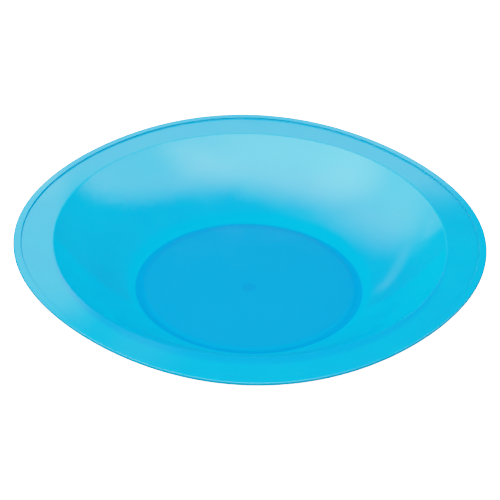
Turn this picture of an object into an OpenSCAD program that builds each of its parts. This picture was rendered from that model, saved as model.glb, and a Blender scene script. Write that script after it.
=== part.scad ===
// Deep plate moulded in one piece: a rounded-square rim round a round bowl.
// +Z is up. The plate stands on z = 0 with its centre over the origin.
// Its four sides face +X, -X, +Y and -Y, and its soft corners lie between them.

/* [Rim] */
// Width from one side to the opposite side
side_w = 226.6; // [216:0.2:230]
// Width from one soft corner to the opposite corner
corner_w = 233.4; // [231:0.2:240]
// Slope of the rim's upper face towards its edge, in degrees: below 0 it falls away
rim_slope = -1; // [-4:0.5:4]
// Thickness of the rim at its edge, with the lip left out
rim_edge_t = 0.9; // [0.6:0.1:1.8]
// Width of the raised lip along the edge
lip_w = 3.8; // [2:0.2:6]
// Height of the lip above the rim's upper face
lip_h = 0.75; // [0.2:0.05:0.8]

/* [Bowl] */
// Wall thickness of the floor, the bowl and the rim's inner part
wall_t = 2.1; // [1.4:0.1:3]
// Radius of the flat floor
floor_r = 53.5; // [48:0.5:58]
// Radius at which the bowl has turned over into the rim
bowl_r = 97.2; // [94:0.2:100]
// Radius of the upper face's bend from the floor into the bowl's wall
floor_bend_r = 11.7; // [8:0.1:16]
// Radius of the upper face's bend from the bowl's wall into the rim
rim_bend_r = 0.6; // [0.4:0.1:3]
// Slope of the bowl's wall where it leaves the floor bend, in degrees
wall_slope_low = 22.2; // [16:0.2:28]
// Slope of the bowl's wall where it meets the rim bend, in degrees
wall_slope_high = 48.2; // [40:0.2:52]

/* [Foot] */
// Outer radius of the foot ring
foot_r = 57; // [54:0.5:60]
// Width of the foot ring
foot_w = 4.4; // [3:0.2:6]
// Height of the foot ring below the floor
foot_h = 1; // [0.6:0.1:1.5]
// Diameter of the moulding gate's mark under the centre of the floor
gate_d = 7; // [4:0.5:10]
// Height of the gate's mark, less than the foot ring's
gate_h = 0.4; // [0.2:0.1:0.5]

/* [Hidden] */

// Steps in the rim's outline, in each bend and in the bowl's wall
outline_steps = 120;
bend_steps = 8;
wall_steps = 14;
round_fn = 180;
// Bevel along the foot ring's lower edges
foot_bevel = 0.3;
// Distance that cutting shapes run past what they cut
overcut = 3;

mean_r = (side_w + corner_w) / 4;
swell = (corner_w - side_w) / (corner_w + side_w);
blank_r = corner_w / 2 + overcut;
floor_top = foot_h + wall_t;
floor_middle = foot_h + wall_t / 2;

// Distance moved outward and upward along a bend of radius r from slope a to slope b.
// A bend that turns back towards level has a negative radius.
function run(r, a, b) = r * (sin(b) - sin(a));
function rise(r, a, b) = r * (cos(a) - cos(b));

// Radius of the bowl's wall that spans what the two bends leave
bends_run = run(floor_bend_r, 0, wall_slope_low) + run(-rim_bend_r, wall_slope_high, rim_slope);
wall_r = (bowl_r - floor_r - bends_run) / (sin(wall_slope_high) - sin(wall_slope_low));

// Stations [radius, height, slope] round one bend of the upper face
function bend(from, r, a, b, steps) = [
    for (i = [0:steps]) let (s = a + (b - a) * i / steps) [from.x + run(r, a, s), from.y + rise(r, a, s), s]
];

floor_bend = bend([floor_r, floor_top], floor_bend_r, 0, wall_slope_low, bend_steps);
wall = bend(floor_bend[bend_steps], wall_r, wall_slope_low, wall_slope_high, wall_steps);
rim_bend = bend(wall[wall_steps], -rim_bend_r, wall_slope_high, rim_slope, bend_steps);
bowl = concat([[0, floor_top, 0]], floor_bend, [for (i = [1:wall_steps]) wall[i]]);

// Points on the upper and lower faces at one station
function upper(s) = [s.x, s.y];
function lower(s) = [s.x + wall_t * sin(s.z), s.y - wall_t * cos(s.z)];

// Heights of the rim's faces at radius r; the lower face rises so that the rim thins towards its edge
rim_start = rim_bend[bend_steps];
rim_root = wall[wall_steps].x;
function rim_top(r) = rim_start.y + (r - rim_start.x) * tan(rim_slope);
function rim_under(r) = rim_top(r) - wall_t + (wall_t - rim_edge_t) * (r - bowl_r) / (mean_r - bowl_r);

// Rounded-square outline, moved in from the edge by inset
function outline(inset) = [
    for (i = [0:outline_steps - 1])
        let (a = 360 * i / outline_steps, r = mean_r * (1 - swell * cos(4 * a)) - inset) r * [cos(a), sin(a)]
];

// Half section of the floor and the bowl's wall
module bowl_section() {
    last = len(bowl) - 1;
    polygon(concat([for (s = bowl) upper(s)], [for (i = [last:-1:0]) lower(bowl[i])]));
}

// Half section of the rim, which starts inside the top of the bowl's wall
module rim_section() {
    polygon(concat(
        [for (s = rim_bend) upper(s)],
        [[blank_r, rim_top(blank_r)], [blank_r, rim_under(blank_r)], [rim_root, rim_under(rim_root)]]
    ));
}

module foot_section() {
    inner = foot_r - foot_w;
    polygon([
        [inner, floor_middle], [inner, foot_bevel], [inner + foot_bevel, 0],
        [foot_r - foot_bevel, 0], [foot_r, foot_bevel], [foot_r, floor_middle]
    ]);
}

module gate_section() {
    translate([0, foot_h - gate_h]) square([gate_d / 2, gate_h + wall_t / 2]);
}

module round_blank() {
    rotate_extrude($fn = round_fn) {
        bowl_section();
        rim_section();
        foot_section();
        gate_section();
    }
}

// Raised band that runs from inside the lip to past the edge
module lip_blank() {
    inner = bowl_r + overcut;
    root = rim_edge_t / 2;
    rotate_extrude($fn = round_fn) polygon([
        [inner, rim_top(inner) - root], [inner, rim_top(inner) + lip_h],
        [blank_r, rim_top(blank_r) + lip_h], [blank_r, rim_top(blank_r) - root]
    ]);
}

module outline_prism(inset) {
    translate([0, 0, -overcut]) linear_extrude(rim_top(blank_r) + 2 * overcut) polygon(outline(inset));
}

module dish() {
    color([0.05, 0.68, 0.9]) intersection() {
        union() {
            round_blank();
            difference() {
                lip_blank();
                outline_prism(lip_w);
            }
        }
        outline_prism(0);
    }
}

dish();
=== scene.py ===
from math import atan2, cos, hypot, pi, radians, sin, tan

import bpy
from mathutils import Matrix, Vector

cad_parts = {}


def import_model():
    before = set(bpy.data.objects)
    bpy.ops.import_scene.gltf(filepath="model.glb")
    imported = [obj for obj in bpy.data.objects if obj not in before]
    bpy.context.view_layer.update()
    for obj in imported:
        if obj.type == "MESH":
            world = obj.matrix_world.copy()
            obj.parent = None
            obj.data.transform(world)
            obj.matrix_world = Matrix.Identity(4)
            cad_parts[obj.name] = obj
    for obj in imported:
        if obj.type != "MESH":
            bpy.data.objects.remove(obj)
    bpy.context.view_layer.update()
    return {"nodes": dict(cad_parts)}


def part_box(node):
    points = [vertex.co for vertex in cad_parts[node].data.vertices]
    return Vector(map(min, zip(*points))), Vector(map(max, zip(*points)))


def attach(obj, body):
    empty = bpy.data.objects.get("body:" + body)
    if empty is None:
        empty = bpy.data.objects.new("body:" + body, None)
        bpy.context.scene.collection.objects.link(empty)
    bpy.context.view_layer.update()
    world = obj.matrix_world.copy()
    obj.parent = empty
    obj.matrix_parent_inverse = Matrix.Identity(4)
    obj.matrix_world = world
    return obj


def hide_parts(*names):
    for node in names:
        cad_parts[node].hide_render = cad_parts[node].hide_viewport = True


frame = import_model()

# The plate's lengths are in millimetres, as in the CAD source, and MM turns them into the frame's
# metres. The camera's and the studio's lengths are in metres.
MM = 0.001

# ---- The plate, as the CAD node "dish" has it -----------------------------------------------
node_low, node_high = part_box("dish")
SIDE_R = (node_high.x - node_low.x) / 2 / MM
CORNER_R = max(hypot(v.co.x, v.co.y) for v in frame["nodes"]["dish"].data.vertices) / MM
MEAN_R = (SIDE_R + CORNER_R) / 2
SWELL = (CORNER_R - SIDE_R) / (CORNER_R + SIDE_R)

WALL_T = 2.1
FLOOR_R = 53.5
BOWL_R = 97.2
FLOOR_BEND_R = 11.7
RIM_BEND_R = 0.6
SLOPE_LOW = radians(22.2)
SLOPE_HIGH = radians(48.2)
RIM_SLOPE = radians(-1)
RIM_EDGE_T = 0.9
LIP_W = 3.8
LIP_H = 0.75
FOOT_R = 57.0
FOOT_W = 4.4
FOOT_H = 1.0
GATE_R = 3.5
GATE_H = 0.4

# ---- Roundings that the CAD leaves out --------------------------------------------------------
LIP_STEP_ROUND = 0.2
EDGE_TOP_ROUND = 0.65
EDGE_UNDER_ROUND = 0.45
FOOT_ROUND = 0.35
GATE_ROUND = 0.12
RIM_UNDER_ROUND = 1.2
# How far the lip's inner face leans outwards over its height
LIP_DRAFT = 0.06

# Steps round the plate, and along the section's arcs and flat runs
TURNS = 320
FLOOR_BEND_STEPS = 12
WALL_STEPS = 30
RIM_BEND_STEPS = 10
EDGE_TOP_STEPS = 8
EDGE_UNDER_STEPS = 6
FLOOR_STEPS = 14
UNDER_FLOOR_STEPS = 10
RIM_STEPS = 6
GATE_STEPS = 3

# How far short of a corner or an arc the points on the flat faces stop
GAP_AT_BEND = 0.5
GAP_AT_STEP = 0.6
GAP = 1
GAP_WIDE = 2


# ---- Section of the plate: lists of (radius, height) for the mean outline ----------------------
def bend(start, radius, a, b, steps):
    """Stations (radius, height, slope) along an arc that turns from slope a to slope b."""
    x, y, _ = start
    slopes = [a + (b - a) * i / steps for i in range(steps + 1)]
    return [(x + radius * (sin(s) - sin(a)), y + radius * (cos(a) - cos(s)), s) for s in slopes]


def bend_run(radius, a, b):
    """How far outwards an arc from slope a to slope b reaches."""
    return radius * (sin(b) - sin(a))


def upper_stations():
    """Stations along the upper face: the floor's bend with the bowl's wall, and the rim's bend."""
    left = bend_run(FLOOR_BEND_R, 0, SLOPE_LOW) + bend_run(-RIM_BEND_R, SLOPE_HIGH, RIM_SLOPE)
    wall_r = (BOWL_R - FLOOR_R - left) / (sin(SLOPE_HIGH) - sin(SLOPE_LOW))
    floor_bend = bend((FLOOR_R, FOOT_H + WALL_T, 0), FLOOR_BEND_R, 0, SLOPE_LOW, FLOOR_BEND_STEPS)
    wall = bend(floor_bend[-1], wall_r, SLOPE_LOW, SLOPE_HIGH, WALL_STEPS)
    rim_bend = bend(wall[-1], -RIM_BEND_R, SLOPE_HIGH, RIM_SLOPE, RIM_BEND_STEPS)
    return floor_bend + wall[1:], rim_bend[1:]


def offset(station, distance):
    """The point at a distance above a station, square to the face."""
    x, y, s = station
    return (x - distance * sin(s), y + distance * cos(s))


def line(a, b, steps):
    """Points from a to b, both ends included."""
    return [(a[0] + (b[0] - a[0]) * i / steps, a[1] + (b[1] - a[1]) * i / steps)
            for i in range(steps + 1)]


def rounded(corner, before, after, radius, steps=5):
    """An arc that rounds a corner, with its ends on the lines from before and to after.
    A point just off each end keeps the flat faces beside the arc flat when shaded smooth."""
    c, p, n = Vector(corner), Vector(before), Vector(after)
    u, w = (p - c).normalized(), (n - c).normalized()
    half = u.angle(w) / 2
    reach = radius / tan(half)
    centre = c + (u + w).normalized() * (radius / sin(half))
    start, end = c + u * reach, c + w * reach
    a0 = atan2(*(start - centre).yx)
    turn = (atan2(*(end - centre).yx) - a0 + pi) % (2 * pi) - pi
    arc = [centre + radius * Vector((cos(a0 + turn * i / steps), sin(a0 + turn * i / steps)))
           for i in range(steps + 1)]
    guard = radius * 0.25
    return [tuple(v) for v in [start + u * guard] + arc + [end + w * guard]]


def height_at(points, radius):
    """Height of a line of points at a radius, the points running outwards."""
    for (r0, z0), (r1, z1) in zip(points, points[1:]):
        if r0 <= radius <= r1:
            return z0 + (z1 - z0) * (radius - r0) / (r1 - r0)
    return points[-1][1]


def plate_section():
    """The closed half section from the centre of the floor's top to the centre of its underside."""
    bowl, rim_bend = upper_stations()
    top = [offset(s, 0) for s in bowl + rim_bend]
    under = [offset(s, -WALL_T) for s in bowl]
    rim_x, rim_y = top[-1]

    def rim_top(r):
        return rim_y + (r - rim_x) * tan(RIM_SLOPE)

    def rim_under(r):
        return rim_top(r) - WALL_T + (WALL_T - RIM_EDGE_T) * (r - BOWL_R) / (MEAN_R - BOWL_R)

    # The bowl's lower face ends where it meets the rim's lower face
    under = [p for p in under if p[1] < rim_under(p[0])]
    (r0, z0), (r1, z1) = under[-2:]
    gap = (rim_under(r1) - z1) / ((z1 - z0) / (r1 - r0) - tan(RIM_SLOPE))
    under_corner = (r1 + gap, rim_under(r1 + gap))

    floor_top = FOOT_H + WALL_T
    lip_in = MEAN_R - LIP_W
    root = (lip_in, rim_top(lip_in))
    crest = (lip_in + LIP_DRAFT, rim_top(lip_in) + LIP_H)
    edge_top = (MEAN_R, rim_top(MEAN_R) + LIP_H)
    edge_under = (MEAN_R, rim_under(MEAN_R))
    rim_from, rim_to = rim_x + GAP_AT_BEND, lip_in - GAP_AT_STEP
    upper = line((0, floor_top), (FLOOR_R - GAP, floor_top), FLOOR_STEPS) + top
    upper += line((rim_from, rim_top(rim_from)), (rim_to, rim_top(rim_to)), RIM_STEPS)
    upper += rounded(root, (rim_x, rim_top(rim_x)), crest, LIP_STEP_ROUND)
    upper += rounded(crest, root, edge_top, LIP_STEP_ROUND)
    upper += rounded(edge_top, crest, edge_under, EDGE_TOP_ROUND, EDGE_TOP_STEPS)
    upper += rounded(edge_under, edge_top, under_corner, EDGE_UNDER_ROUND, EDGE_UNDER_STEPS)

    foot_in = FOOT_R - FOOT_W
    foot_join = (FOOT_R, height_at([(0, FOOT_H)] + under, FOOT_R))
    rim_out, rim_in = MEAN_R - GAP, under_corner[0] + GAP_WIDE
    lower = line((rim_out, rim_under(rim_out)), (rim_in, rim_under(rim_in)), RIM_STEPS)
    lower += rounded(under_corner, (MEAN_R, rim_under(MEAN_R)), under[-2], RIM_UNDER_ROUND)
    outside = [p for p in under if FOOT_R + GAP < p[0] < under_corner[0] - RIM_UNDER_ROUND]
    lower += outside[::-1]
    lower += rounded(foot_join, outside[0], (FOOT_R, 0), FOOT_ROUND)
    lower += rounded((FOOT_R, 0), foot_join, (foot_in, 0), FOOT_ROUND)
    lower += rounded((foot_in, 0), (FOOT_R, 0), (foot_in, FOOT_H), FOOT_ROUND)
    lower += rounded((foot_in, FOOT_H), (foot_in, 0), (GATE_R, FOOT_H), FOOT_ROUND)
    gate_z = FOOT_H - GATE_H
    by_gate = (GATE_R + GAP_WIDE, FOOT_H)
    lower += line((foot_in - GAP_WIDE, FOOT_H), by_gate, UNDER_FLOOR_STEPS)
    lower += rounded((GATE_R, FOOT_H), by_gate, (GATE_R, gate_z), GATE_ROUND)
    lower += rounded((GATE_R, gate_z), (GATE_R, FOOT_H), (0, gate_z), GATE_ROUND)
    lower += line((GATE_R - GAP_AT_STEP, gate_z), (0, gate_z), GATE_STEPS)
    return upper + lower


def outline(angle):
    """Radius of the rounded-square edge at an angle round the plate."""
    return MEAN_R * (1 - SWELL * cos(4 * angle))


def swept_mesh(name, section):
    """Turns the section round +Z. Outside the bowl its points move out or in with the outline."""
    first, last, between = section[0], section[-1], section[1:-1]
    stretch_from, stretch_to = BOWL_R, MEAN_R - LIP_W
    verts = [(0, 0, first[1] * MM)]
    for i in range(TURNS):
        a = 2 * pi * i / TURNS
        shift = outline(a) - MEAN_R
        for r, z in between:
            moved = shift * min(max((r - stretch_from) / (stretch_to - stretch_from), 0), 1)
            z += moved * tan(RIM_SLOPE)
            verts.append(((r + moved) * cos(a) * MM, (r + moved) * sin(a) * MM, z * MM))
    verts.append((0, 0, last[1] * MM))
    n = len(between)
    faces = []
    for i in range(TURNS):
        this, after = 1 + i * n, 1 + (i + 1) % TURNS * n
        faces.append((0, this, after))
        faces += [(this + k, this + k + 1, after + k + 1, after + k) for k in range(n - 1)]
        faces.append((this + n - 1, len(verts) - 1, after + n - 1))
    mesh = bpy.data.meshes.new(name)
    mesh.from_pydata(verts, [], faces)
    mesh.validate()
    mesh.shade_smooth()
    return mesh


# ---- Shader nodes --------------------------------------------------------------------------------
def node(tree, kind, **values):
    """A shader node with its named inputs and properties set."""
    made = tree.nodes.new(kind)
    for key, value in values.items():
        name = key.replace("_", " ")
        if name in made.inputs:
            made.inputs[name].default_value = value
        else:
            setattr(made, key, value)
    return made


def plug(tree, value, socket):
    """Links an output to a socket, or sets the socket's value."""
    if isinstance(value, bpy.types.NodeSocket):
        tree.links.new(value, socket)
    else:
        socket.default_value = value


def calc(tree, operation, a, b=0.0):
    """The result of a sum on one or two numbers."""
    made = node(tree, "ShaderNodeMath", operation=operation)
    plug(tree, a, made.inputs[0])
    plug(tree, b, made.inputs[1])
    return made.outputs[0]


def split(tree, vector):
    """The x, y and z of a vector."""
    made = tree.nodes.new("ShaderNodeSeparateXYZ")
    tree.links.new(vector, made.inputs[0])
    return made.outputs


def remap(tree, value, low, high, to_low, to_high, kind="SMOOTHSTEP"):
    """value taken from the range low to high into the range to_low to to_high, and held there."""
    made = tree.nodes.new("ShaderNodeMapRange")
    made.interpolation_type = kind
    for socket, number in zip(made.inputs, (value, low, high, to_low, to_high)):
        plug(tree, number, socket)
    return made.outputs[0]


def noise(tree, vector, scale, detail=2.0, roughness=0.5):
    """Soft noise between 0 and 1 at a place."""
    made = node(tree, "ShaderNodeTexNoise", Scale=scale, Detail=detail, Roughness=roughness)
    tree.links.new(vector, made.inputs["Vector"])
    return made.outputs["Fac"]


def blend_colours(tree, factor, a, b):
    """Colour a where factor is 0 and colour b where it is 1."""
    made = node(tree, "ShaderNodeMix", data_type="RGBA")
    plug(tree, factor, made.inputs[0])
    plug(tree, a, made.inputs[6])
    plug(tree, b, made.inputs[7])
    return made.outputs[2]


# ---- The plastic -----------------------------------------------------------------------------------
PLASTIC = (0.001, 0.465, 0.89, 1)
PLASTIC_DEEP = (0.001, 0.44, 0.87, 1)
# Painted light: the colour for the upper part of the bowl's wall, made lighter as if more light fell on
# and through it
PLASTIC_PAINTED_LIGHT = (0.001, 0.53, 0.98, 1)
# Painted shade: the floor's colour, deeper as if less light reached it from beneath
PLASTIC_FLOOR_SHADE = (0.001, 0.36, 0.81, 1)
# Painted shade: a darker band over the foot ring, where it rests on the floor and lets less light
# through
PLASTIC_RING_SHADE = (0.001, 0.325, 0.77, 1)
# Painted shade: the rim darker where the bowl's wall lies in shade beneath it
PLASTIC_SHADED = (0.001, 0.38, 0.86, 1)
PLASTIC_GATE = (0.001, 0.29, 0.73, 1)
# Painted shade: the colour of the steep faces of the lip and the edge, darkened as if in shade
PLASTIC_EDGE_SHADE = (0.001, 0.36, 0.62, 1)
CLEARNESS = 0.45
SKIN_IOR = 1.5
BEND_IOR = 1.02
ROUGHNESS = (0.055, 0.09)
GATE_SHOWS = 0.6

# Noise scales: streaks and clouds in the colour, and wiping marks in the gloss
STREAKS = 7.0
CLOUDS = 18.0
WIPING = 60.0
# Ranges of the noise that take up the whole of a change in colour or in gloss
TINT_SPREAD = (0.35, 0.65)
WIPING_SPREAD = (0.3, 0.7)
# How far a face looks up where it stops being steep
STEEP = (0.4, 0.9)

# Depths below the upper face at which the foot ring and the bowl's wall under the rim show through; the
# painted shade over the ring and on the rim is shifted with the view by these depths
RING_DEPTH = 2.4
UNDER_RIM_DEPTH = 4.0
# How far the view looks down where the shift of what shows through stops growing and fades out
SHALLOW_VIEW = 0.3
GRAZING_VIEW = 0.1

# Radii over which a colour or a finish comes in or goes out
PAINTED_LIGHT_STARTS = (70.0, 94.0)
WALL_ENDS = (96.8, 97.6)
FLOOR_ENDS = (56.5, 57.5)
RING_STARTS = (52.0, 53.2)
RING_ENDS = (56.4, 57.4)
GATE_ENDS = (3.0, 4.0)
RIM_STARTS = (96.6, 97.4)
UNDER_WALL_ENDS = (95.8, 98.5)
LIP_STARTS = (103.5, 105.0)
DULL_STARTS = (52.2, 53.2)
DULL_ENDS = (59.0, 64.0)

# The moulding's flow: the radius below which it turns no faster, and its change per metre outwards
FLOW_CORE = 30.0
FLOW_OUTWARD = 9.0

# Bumps in the skin, coarse to fine: what they follow, scale, detail, strength and depth
BUMPS = (
    ("flow", 5.0, 1.0, 0.5, 0.04),
    ("flow", 36.0, 3.0, 0.6, 0.01),
    ("place", 900.0, 2.0, 0.12, 0.01),
)


def distance_from_axis(tree, x, y):
    squares = calc(tree, "ADD", calc(tree, "MULTIPLY", x, x), calc(tree, "MULTIPLY", y, y))
    return calc(tree, "SQRT", squares)


def rising(tree, radius, span, top=1.0):
    """0 at radii below a span, and top at radii above it."""
    return remap(tree, radius, span[0] * MM, span[1] * MM, 0, top)


def falling(tree, radius, span, top=1.0):
    """top at radii below a span, and 0 at radii above it."""
    return remap(tree, radius, span[0] * MM, span[1] * MM, top, 0)


def coordinates(tree):
    """The place on the plate, its x, y and distance from the axis, and coordinates for the moulding's
    flow, which vary quickly round the plate and slowly outwards."""
    place_at = tree.nodes.new("ShaderNodeTexCoord").outputs["Object"]
    x, y, _ = split(tree, place_at)
    radius = distance_from_axis(tree, x, y)
    turning = calc(tree, "MAXIMUM", radius, FLOW_CORE * MM)
    flow = tree.nodes.new("ShaderNodeCombineXYZ")
    plug(tree, calc(tree, "DIVIDE", x, turning), flow.inputs[0])
    plug(tree, calc(tree, "DIVIDE", y, turning), flow.inputs[1])
    plug(tree, calc(tree, "MULTIPLY", radius, FLOW_OUTWARD), flow.inputs[2])
    return place_at, x, y, radius, flow.outputs[0]


def radius_seen_at(tree, x, y, depth):
    """Distance from the axis of the point that shows through the upper face at a depth below it."""
    to_x, to_y, to_z = split(tree, tree.nodes.new("ShaderNodeNewGeometry").outputs["Incoming"])
    shown_depth = remap(tree, to_z, 0.0, GRAZING_VIEW, 0, depth * MM)
    reach = calc(tree, "DIVIDE", shown_depth, calc(tree, "MAXIMUM", to_z, SHALLOW_VIEW))
    deep_x = calc(tree, "SUBTRACT", x, calc(tree, "MULTIPLY", to_x, reach))
    deep_y = calc(tree, "SUBTRACT", y, calc(tree, "MULTIPLY", to_y, reach))
    return distance_from_axis(tree, deep_x, deep_y)


def painted_edge_shade(tree, radius):
    """Painted shade: 1 on the steep faces of the lip and the edge, which are darkened as if in shade, 0
    elsewhere.
    """
    facing_up = split(tree, tree.nodes.new("ShaderNodeNewGeometry").outputs["Normal"])[2]
    steep = remap(tree, calc(tree, "ABSOLUTE", facing_up), *STEEP, 1, 0)
    return calc(tree, "MULTIPLY", steep, rising(tree, radius, LIP_STARTS))


def flow_tint(tree, place_at, flow):
    """0 to 1 in soft streaks along the moulding's flow, broken up by clouds."""
    streaks = noise(tree, flow, STREAKS, detail=3.0, roughness=0.55)
    clouds = noise(tree, place_at, CLOUDS)
    halves = (calc(tree, "MULTIPLY", streaks, 0.5), calc(tree, "MULTIPLY", clouds, 0.5))
    return remap(tree, calc(tree, "ADD", *halves), *TINT_SPREAD, 0, 1)


def plastic_colour(tree, place_at, x, y, radius, flow):
    """A cyan with soft flow streaks, painted light high on the bowl's wall and painted shade in the
    floor, with the foot ring, the gate's mark and the top of the bowl's wall showing through from
    below; over the foot ring and on the rim over the bowl's wall this is painted shade, and the steep
    faces of the lip and the edge get painted shade too."""
    below = radius_seen_at(tree, x, y, RING_DEPTH)
    under_rim = radius_seen_at(tree, x, y, UNDER_RIM_DEPTH)
    # Painted light: the bowl's wall made lighter towards the rim
    high = calc(tree, "MULTIPLY", rising(tree, radius, PAINTED_LIGHT_STARTS),
                falling(tree, radius, WALL_ENDS))
    # Painted shade over the foot ring, shifted with the view as if seen through the floor
    ring = calc(tree, "MULTIPLY", rising(tree, below, RING_STARTS), falling(tree, below, RING_ENDS))
    # Painted shade on the rim over the top of the bowl's wall
    shaded = calc(tree, "MULTIPLY", falling(tree, under_rim, UNDER_WALL_ENDS),
                  rising(tree, radius, RIM_STARTS))
    layers = (
        (high, PLASTIC_PAINTED_LIGHT),
        # painted shade in the floor
        (falling(tree, below, FLOOR_ENDS), PLASTIC_FLOOR_SHADE),
        (ring, PLASTIC_RING_SHADE),
        (falling(tree, below, GATE_ENDS, GATE_SHOWS), PLASTIC_GATE),
        (shaded, PLASTIC_SHADED),
        # painted shade on the steep faces of the lip and the edge
        (painted_edge_shade(tree, radius), PLASTIC_EDGE_SHADE),
    )
    colour = blend_colours(tree, flow_tint(tree, place_at, flow), PLASTIC, PLASTIC_DEEP)
    for amount, tint in layers:
        colour = blend_colours(tree, amount, colour, tint)
    return colour


def empty_tree(owner):
    """The cleared node tree of a material or world."""
    owner.use_nodes = True
    owner.node_tree.nodes.clear()
    return owner.node_tree


def blue_plastic():
    """Translucent moulded plastic: its colour, a glossy skin whose sharpness varies and that is dull
    in the bend round the floor, and a faint waviness with a fine moulded grain."""
    mat = bpy.data.materials.new("blue_plastic")
    tree = empty_tree(mat)
    out = node(tree, "ShaderNodeOutputMaterial")
    skin = node(tree, "ShaderNodeBsdfPrincipled", IOR=SKIN_IOR, Transmission_Weight=CLEARNESS)
    place_at, x, y, radius, flow = coordinates(tree)
    tree.links.new(plastic_colour(tree, place_at, x, y, radius, flow), skin.inputs["Base Color"])

    wiped = noise(tree, place_at, WIPING, detail=4.0, roughness=0.6)
    rough = remap(tree, wiped, *WIPING_SPREAD, *ROUGHNESS, "LINEAR")
    tree.links.new(rough, skin.inputs["Roughness"])
    dull = calc(tree, "MULTIPLY", rising(tree, radius, DULL_STARTS, SKIN_IOR - BEND_IOR),
                falling(tree, radius, DULL_ENDS))
    tree.links.new(calc(tree, "SUBTRACT", SKIN_IOR, dull), skin.inputs["IOR"])

    followed = {"flow": flow, "place": place_at}
    normal = None
    for name, scale, detail, strength, depth in BUMPS:
        bump = node(tree, "ShaderNodeBump", Strength=strength, Distance=depth * MM)
        tree.links.new(noise(tree, followed[name], scale, detail), bump.inputs["Height"])
        if normal:
            tree.links.new(normal, bump.inputs["Normal"])
        normal = bump.outputs[0]
    tree.links.new(normal, skin.inputs["Normal"])
    tree.links.new(skin.outputs["BSDF"], out.inputs["Surface"])
    return mat


def add_object(name, data):
    obj = bpy.data.objects.new(name, data)
    bpy.context.scene.collection.objects.link(obj)
    return obj


def plate():
    obj = add_object("plate", swept_mesh("plate", plate_section()))
    obj.data.materials.append(blue_plastic())
    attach(obj, "root")
    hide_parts("dish")


# ---- Camera, and places laid out from it: right, back (away from it) and up -------------------------
CAMERA_AZIMUTH = radians(42.27)
CAMERA_ELEVATION = radians(34.76)
CAMERA_DISTANCE = 1.034
CAMERA_ROLL = radians(1.77)
CAMERA_LENS = 150.0
CAMERA_SENSOR = 36
AIM_HEIGHT = 23.6 * MM
AIM_RIGHT = -0.05 * MM

RIGHT = Vector((cos(CAMERA_AZIMUTH), sin(CAMERA_AZIMUTH), 0))
BACK = Vector((-sin(CAMERA_AZIMUTH), cos(CAMERA_AZIMUTH), 0))
UP = Vector((0, 0, 1))


def place(right, back, up):
    """A point or direction given from the camera's side."""
    return RIGHT * right + BACK * back + UP * up


def camera():
    data = bpy.data.cameras.new("camera")
    data.lens = CAMERA_LENS
    data.sensor_width = CAMERA_SENSOR
    obj = add_object("camera", data)
    towards = place(0, -cos(CAMERA_ELEVATION), sin(CAMERA_ELEVATION))
    aim = place(AIM_RIGHT, 0, AIM_HEIGHT)
    level = (-towards).to_track_quat("-Z", "Y").to_matrix().to_4x4()
    turn = level @ Matrix.Rotation(CAMERA_ROLL, 4, "Z")
    obj.matrix_world = Matrix.Translation(aim + towards * CAMERA_DISTANCE) @ turn
    bpy.context.scene.camera = obj


# ---- Studio ------------------------------------------------------------------------------------------
# Scene values and the brightness shown for them; FILM_WHITE is shown as full white
FILM_WHITE = 2.5
FILM_CURVE = (
    (0, 0), (0.216, 0.216), (0.55, 0.51), (0.766, 0.63), (1.1, 0.775), (1.316, 0.81), (2.5, 1.0),
)

# Strengths of the world: as the camera sees it, as it lights the plate, and in the plastic's gloss
BACKDROP = 3.0
AMBIENT = 1.5
DARK_STUDIO = 0.03

# The key light, whose place is given as right, back and up
KEY_SIZE = 1.2
KEY_RADIANCE = 4.3
KEY_AT = (-0.4, -0.35, 1.15)

FLOOR_HALF = 6
FLOOR_DROP = 0.0001
FLOOR_GREY = (0.85, 0.85, 0.85, 1)
FLOOR_DARK = (0.03, 0.03, 0.03, 1)
WHITE = (1, 1, 1, 1)

# Soft panels of light: how far they stand off, the noise that makes their edges ragged, and for each
# its name, azimuth, elevation, roll, (half width, half height), (soft width, soft height), strength
# and raggedness
PANEL_DISTANCE = 2.0
RAGGED_NOISE = {"Scale": 14.0, "Detail": 5.0, "Roughness": 0.62}
PANELS = (
    ("overhead", 200.5, 63.5, 3.5, (1.75, 0.80), (1.10, 0.45), 5.05, 0.55),
    ("left", -75.0, 37.5, -33.5, (0.80, 0.90), (0.40, 0.75), 3.15, 0.4),
    ("right", 90.0, 42.0, 32.0, (0.55, 1.05), (0.25, 0.50), 2.75, 0.5),
    ("left_band", -31.0, 21.8, 20.0, (0.30, 0.075), (0.10, 0.05), 0.55, 0.08),
    ("left_end", -46.5, 14.0, 0.0, (0.17, 0.16), (0.05, 0.08), 0.6, 0.1),
    ("right_upper", 118.0, 70.0, 0.0, (0.35, 0.35), (0.25, 0.25), 1.4, 0.2),
    ("back", -4.5, 30.0, -2.0, (0.48, 0.08), (0.06, 0.03), 1.55, 0.03),
    ("back_left", -18.3, 35.0, 0.0, (0.24, 0.15), (0.025, 0.05), 1.65, 0.03),
    ("back_faint", -6.5, 41.3, 0.0, (0.05, 0.03), (0.04, 0.03), 0.35, 0.03),
)


def flat_sheet(name, half_width, half_height):
    """A mesh of one rectangle that faces +Z."""
    w, h = half_width, half_height
    mesh = bpy.data.meshes.new(name)
    mesh.from_pydata([(-w, -h, 0), (w, -h, 0), (w, h, 0), (-w, h, 0)], [], [(0, 1, 2, 3)])
    return mesh


def unsampled_material(name):
    """A material whose glow is only seen, and isn't treated as a lamp."""
    mat = bpy.data.materials.new(name)
    mat.cycles.emission_sampling = "NONE"
    return mat


def vector_calc(tree, operation, *values):
    made = node(tree, "ShaderNodeVectorMath", operation=operation)
    for value, socket in zip(values, made.inputs):
        plug(tree, value, socket)
    return made.outputs[0]


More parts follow.
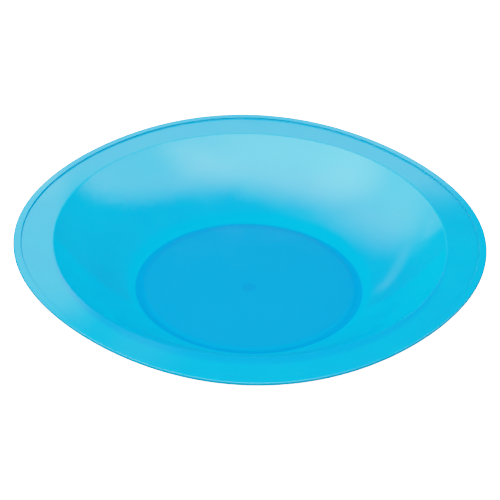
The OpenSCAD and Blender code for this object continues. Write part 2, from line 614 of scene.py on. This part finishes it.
def panel_light(name, half, soft, strength, ragged):
    """A glow that fades over a rectangle's soft, ragged edges. Only a first reflection shows it, and
    light passes through it, so panels don't hide each other."""
    mat = unsampled_material(name)
    tree = empty_tree(mat)
    spot = tree.nodes.new("ShaderNodeTexCoord").outputs["Object"]
    drift = node(tree, "ShaderNodeTexNoise", **RAGGED_NOISE)
    tree.links.new(spot, drift.inputs["Vector"])
    moved = vector_calc(tree, "MULTIPLY_ADD", drift.outputs["Color"], (ragged, ragged, 0), spot)
    across, along, _ = split(tree, vector_calc(tree, "SUBTRACT", moved, (ragged / 2, ragged / 2, 0)))
    masks = [remap(tree, calc(tree, "ABSOLUTE", at), half[k] + soft[k], half[k] - soft[k], 0, 1)
             for k, at in enumerate((across, along))]
    bounces = tree.nodes.new("ShaderNodeLightPath").outputs["Glossy Depth"]
    first = remap(tree, bounces, 1, 2, 1, 0)
    shape = calc(tree, "MULTIPLY", calc(tree, "MULTIPLY", *masks), first)
    glow = tree.nodes.new("ShaderNodeEmission")
    plug(tree, calc(tree, "MULTIPLY", shape, strength), glow.inputs["Strength"])
    both = tree.nodes.new("ShaderNodeAddShader")
    tree.links.new(glow.outputs[0], both.inputs[0])
    tree.links.new(tree.nodes.new("ShaderNodeBsdfTransparent").outputs[0], both.inputs[1])
    out = tree.nodes.new("ShaderNodeOutputMaterial")
    tree.links.new(both.outputs[0], out.inputs["Surface"])
    return mat


def soft_panel(name, azimuth, elevation, roll, half, soft, strength, ragged):
    """A light panel with soft edges that only shows in the plastic's gloss. It stands off the plate
    in a direction given in degrees (azimuth from back towards right) and is rolled clockwise;
    half and soft hold its half width and height and the softness of its edges, and ragged is how far
    its edges wander."""
    az, el, ro = radians(azimuth), radians(elevation), radians(roll)
    outward = place(sin(az) * cos(el), cos(az) * cos(el), sin(el))
    level = place(cos(az), -sin(az), 0)
    steep = outward.cross(level)
    across = level * cos(ro) + steep * sin(ro)
    along = steep * cos(ro) - level * sin(ro)
    mesh = flat_sheet(name, *(half[k] + soft[k] + ragged / 4 for k in (0, 1)))
    mesh.materials.append(panel_light(name, half, soft, strength, ragged))
    obj = add_object(name, mesh)
    turn = Matrix((across, along, across.cross(along))).transposed().to_4x4()
    obj.matrix_world = Matrix.Translation(outward * PANEL_DISTANCE) @ turn
    obj.visible_camera = False
    obj.visible_diffuse = False
    obj.visible_transmission = False
    obj.visible_shadow = False


def key_light():
    """A large soft light above the plate that lights its body and leaves no reflection."""
    data = bpy.data.lights.new("key", "AREA")
    data.shape = "SQUARE"
    data.size = KEY_SIZE
    data.energy = KEY_RADIANCE * KEY_SIZE ** 2 * pi
    obj = add_object("key", data)
    obj.location = place(*KEY_AT)
    obj.rotation_euler = (-obj.location).to_track_quat("-Z", "Y").to_euler()
    obj.visible_glossy = False


def world():
    """White for the camera, even light for the plate's body, and a dark studio for its gloss."""
    made = bpy.data.worlds.new("studio")
    made.cycles.sampling_method = "NONE"
    bpy.context.scene.world = made
    tree = empty_tree(made)
    out = node(tree, "ShaderNodeOutputWorld")
    paths = node(tree, "ShaderNodeLightPath")
    unseen = remap(tree, paths.outputs["Is Glossy Ray"], 0, 1, AMBIENT, DARK_STUDIO)
    strength = node(tree, "ShaderNodeMix")
    plug(tree, paths.outputs["Is Camera Ray"], strength.inputs[0])
    plug(tree, unseen, strength.inputs[2])
    plug(tree, BACKDROP, strength.inputs[3])
    sky = node(tree, "ShaderNodeBackground", Color=WHITE)
    tree.links.new(strength.outputs[0], sky.inputs["Strength"])
    tree.links.new(sky.outputs[0], out.inputs["Surface"])


def floor():
    """A pale floor that the camera sees as evenly lit and that the plastic's gloss hardly shows."""
    mesh = flat_sheet("floor", FLOOR_HALF, FLOOR_HALF)
    obj = add_object("floor", mesh)
    obj.location = (0, 0, -FLOOR_DROP)
    mat = unsampled_material("floor")
    mat.use_nodes = True
    tree = mat.node_tree
    skin = tree.nodes["Principled BSDF"]
    paths = tree.nodes.new("ShaderNodeLightPath")
    seen = blend_colours(tree, paths.outputs["Is Glossy Ray"], FLOOR_GREY, FLOOR_DARK)
    tree.links.new(seen, skin.inputs["Base Color"])
    skin.inputs["Roughness"].default_value = 1
    skin.inputs["Specular IOR Level"].default_value = 0
    skin.inputs["Emission Color"].default_value = WHITE
    glow = calc(tree, "MULTIPLY", paths.outputs["Is Camera Ray"], BACKDROP)
    tree.links.new(glow, skin.inputs["Emission Strength"])
    mesh.materials.append(mat)


def film_response():
    """A curve that rolls off the plastic's highlights and keeps white white."""
    view = bpy.context.scene.view_settings
    view.view_transform = "Standard"
    view.use_curve_mapping = True
    mapping = view.curve_mapping
    mapping.use_clip = False
    mapping.white_level = (FILM_WHITE, FILM_WHITE, FILM_WHITE)
    all_channels = mapping.curves[3]
    while len(all_channels.points) < len(FILM_CURVE):
        all_channels.points.new(0.5, 0.5)
    for point, (scene_value, shown) in zip(all_channels.points, FILM_CURVE):
        point.location = (scene_value / FILM_WHITE, shown)
    mapping.update()


plate()
camera()
world()
key_light()
floor()
for panel in PANELS:
    soft_panel(*panel)
film_response()
